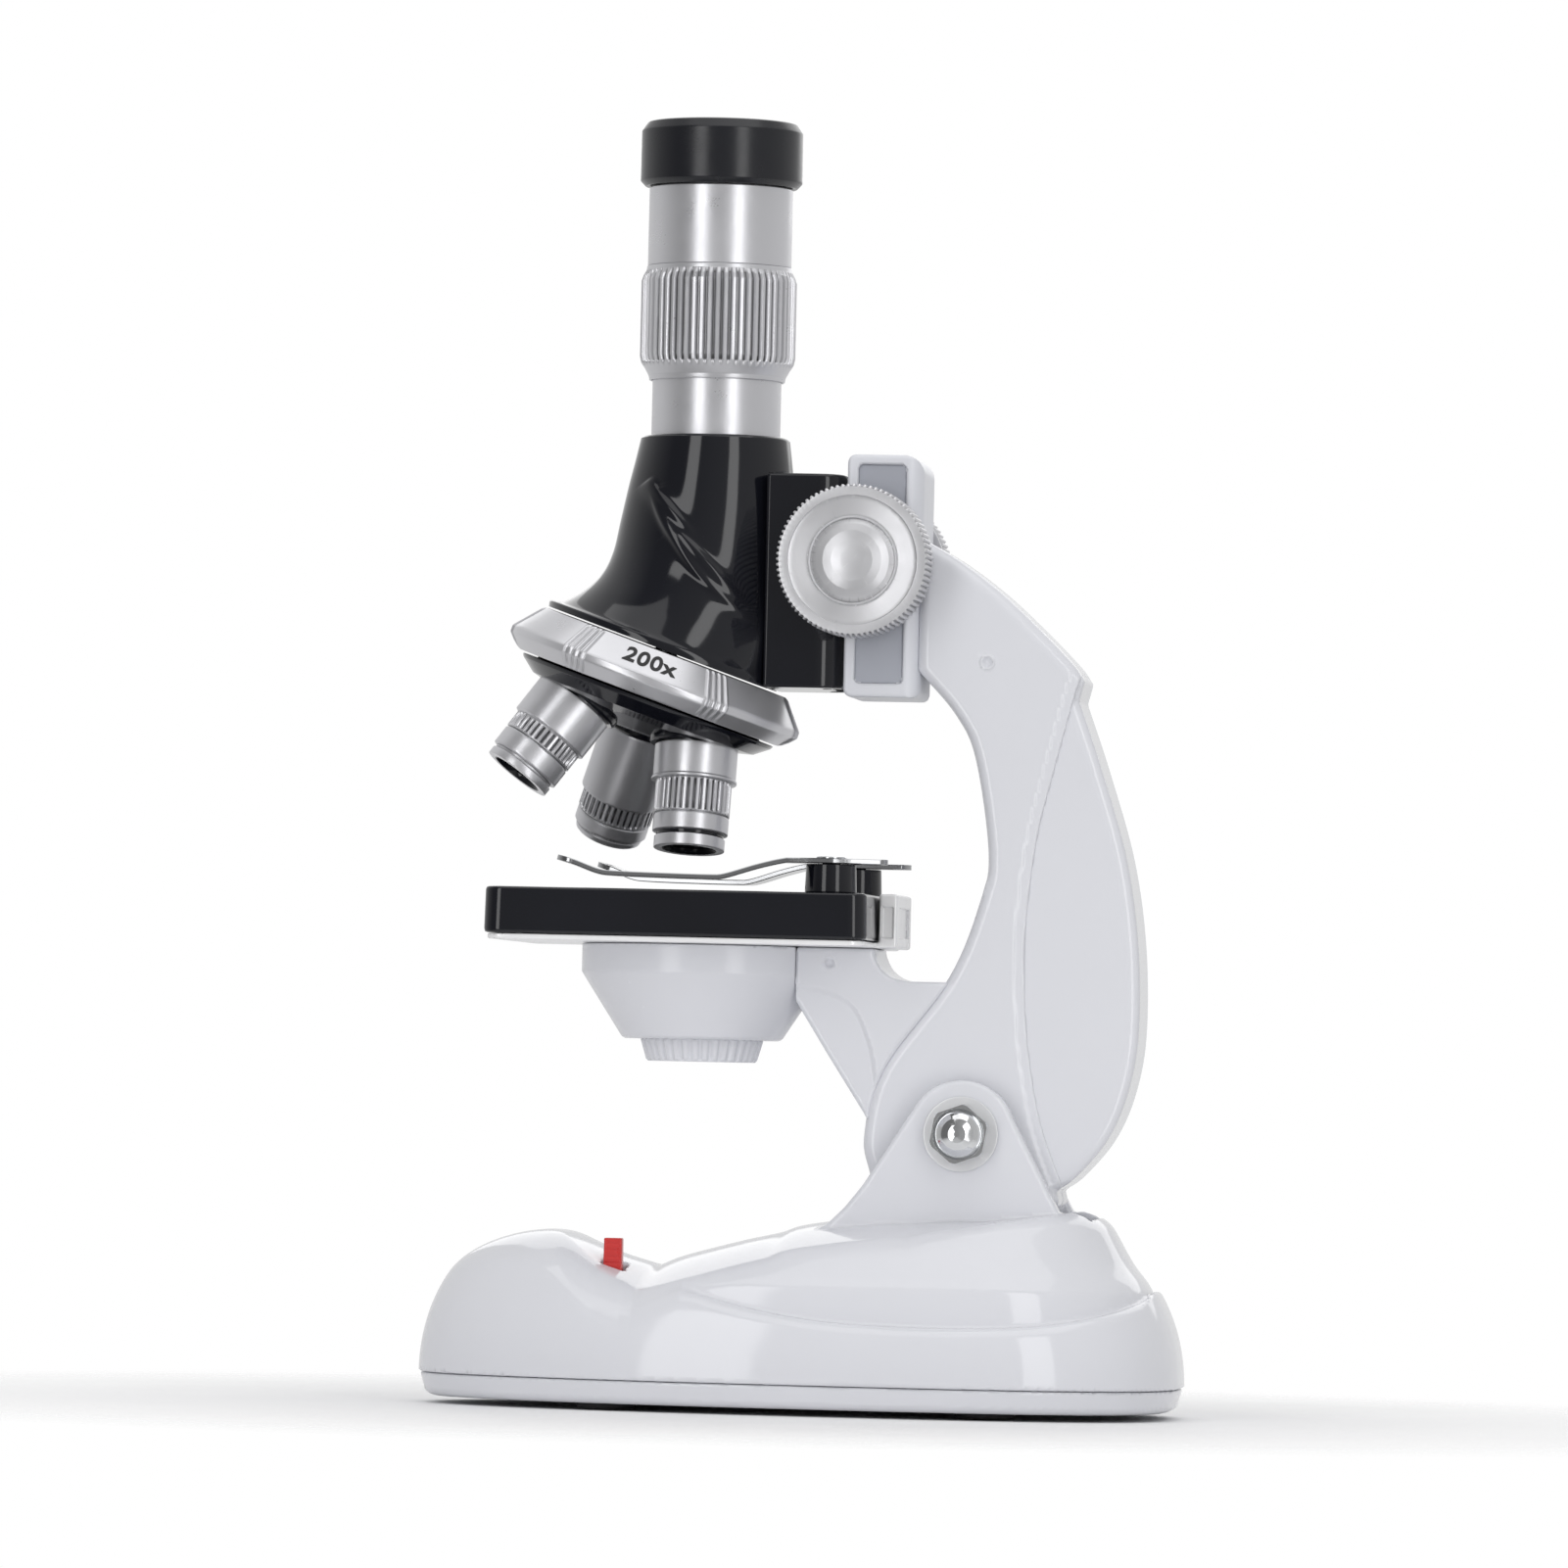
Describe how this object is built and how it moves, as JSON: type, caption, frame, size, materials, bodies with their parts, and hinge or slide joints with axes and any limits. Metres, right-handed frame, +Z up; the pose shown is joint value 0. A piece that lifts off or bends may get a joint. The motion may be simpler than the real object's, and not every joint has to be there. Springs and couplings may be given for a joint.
{
  "type": "toy microscope",
  "caption": "Toy microscope with a tilting arm, lit stage with spring clips, rotating objective turret, rack focusing and a zoom eyepiece.",
  "frame": {"origin": "on the table plane under the feet, at the middle of the base's length and width", "axes": "+Z up; -X is the front, where the stage is; +X is the arm side; -Y is the left side"},
  "size_m": [0.1298, 0.08, 0.2186],
  "materials": {
    "white_plastic": "moulded gloss white ABS, faintly cool",
    "guide_plastic": "moulded white ABS with a recessed satin panel each side",
    "black_plastic": "moulded gloss black ABS",
    "silver_plastic": "satin silver coating over moulded plastic, knurled in places",
    "chrome": "bright plated steel",
    "steel": "zinc plated steel",
    "rubber": "matt moulded rubber",
    "red_plastic": "moulded red ABS",
    "battery_sleeve": "printed battery sleeve, unmarked",
    "circuit_board": "green solder mask",
    "clear_lens": "clear moulded optical plastic"
  },
  "bodies": {
    "base": {"base_shell": "white_plastic", "base_plate": "white_plastic", "foot_1": "rubber", "foot_2": "rubber", "foot_3": "rubber", "foot_4": "rubber", "base_screw_1": "steel", "base_screw_2": "steel", "base_screw_3": "steel", "base_screw_4": "steel", "battery_cell_left": "battery_sleeve", "battery_cell_right": "battery_sleeve", "battery_link_plate": "steel", "battery_spring_left": "steel", "battery_spring_right": "steel", "switch_body": "black_plastic", "hinge_bolt": "chrome", "hinge_dome_nut": "chrome", "hinge_washer_left": "chrome", "hinge_washer_right": "chrome"},
    "battery_cover": {"battery_door": "white_plastic"},
    "power_switch": {"switch_slider": "red_plastic"},
    "arm": {"arm_shell_left": "white_plastic", "arm_shell_right": "white_plastic", "arm_rear_cover": "white_plastic", "arm_screw_1": "steel", "arm_screw_2": "steel", "rail_guide": "guide_plastic", "stage_bracket": "white_plastic", "lamp_housing": "white_plastic", "lamp_board": "circuit_board", "lamp_led": "clear_lens", "lamp_cable": "black_plastic", "stage_plate": "black_plastic", "stage_trim": "silver_plastic", "stage_window": "clear_lens"},
    "lamp_lid": {"lamp_cap": "white_plastic"},
    "left_clip": {"clip_left": "chrome", "clip_post_left": "black_plastic"},
    "right_clip": {"clip_right": "chrome", "clip_post_right": "black_plastic"},
    "head": {"head_shell": "black_plastic", "rack_carriage": "black_plastic", "lower_tube": "silver_plastic", "turret_screw": "steel"},
    "focus": {"focus_shaft": "steel", "focus_knob_left": "silver_plastic", "focus_knob_right": "silver_plastic"},
    "turret": {"turret_ring": "silver_plastic", "turret_hub": "black_plastic", "objective_medium": "silver_plastic", "objective_lens_medium": "clear_lens", "objective_long": "silver_plastic", "objective_lens_long": "clear_lens", "objective_short": "silver_plastic", "objective_lens_short": "clear_lens"},
    "zoom": {"zoom_ring": "silver_plastic"},
    "eyepiece": {"eyepiece_tube": "silver_plastic", "eyepiece_cap": "black_plastic", "eye_lens": "clear_lens"}
  },
  "joints": [
    {"name": "battery_door_lift", "type": "slide", "parent": "base", "child": "battery_cover", "axis": [0, 0, -1], "range_m": [0, 0.04]},
    {"name": "switch_slide", "type": "slide", "parent": "base", "child": "power_switch", "axis": [0, 1, 0], "range_m": [0, 0.003]},
    {"name": "arm_tilt", "type": "hinge", "parent": "base", "child": "arm", "pos_m": [0.0279, 0, 0.0472], "axis": [0, 1, 0], "range_deg": [0, 30]},
    {"name": "lamp_cap_twist", "type": "hinge", "parent": "arm", "child": "lamp_lid", "pos_m": [-0.018, 0, 0.06], "axis": [0, 0, 1], "range_deg": [0, 60]},
    {"name": "left_clip_swing", "type": "hinge", "parent": "arm", "child": "left_clip", "pos_m": [0.0056, -0.021, 0.09], "axis": [0, 0, 1], "range_deg": [-20, 75]},
    {"name": "right_clip_swing", "type": "hinge", "parent": "arm", "child": "right_clip", "pos_m": [0.0056, 0.021, 0.09], "axis": [0, 0, 1], "range_deg": [-75, 20]},
    {"name": "head_slide", "type": "slide", "parent": "arm", "child": "head", "axis": [0, 0, 1], "range_m": [-0.0015, 0.018]},
    {"name": "focus_turn", "type": "hinge", "parent": "arm", "child": "focus", "pos_m": [0.008, 0, 0.143], "axis": [0, 1, 0], "range_deg": [-21, 246]},
    {"name": "turret_turn", "type": "hinge", "parent": "head", "child": "turret", "pos_m": [-0.0275, 0, 0.1226], "axis": [0.3338, 0, 0.9426], "continuous": true},
    {"name": "eyepiece_slide", "type": "slide", "parent": "head", "child": "eyepiece", "axis": [0, 0, 1], "range_m": [0, 0.012]},
    {"name": "zoom_turn", "type": "hinge", "parent": "head", "child": "zoom", "pos_m": [-0.018, 0, 0.18], "axis": [0, 0, 1], "range_deg": [0, 270.1]}
  ],
  "couplings": [
    {"joint": "focus_turn", "follows": "head_slide", "rad_per_m": 238.1},
    {"joint": "zoom_turn", "follows": "eyepiece_slide", "rad_per_m": 392.7}
  ]
}
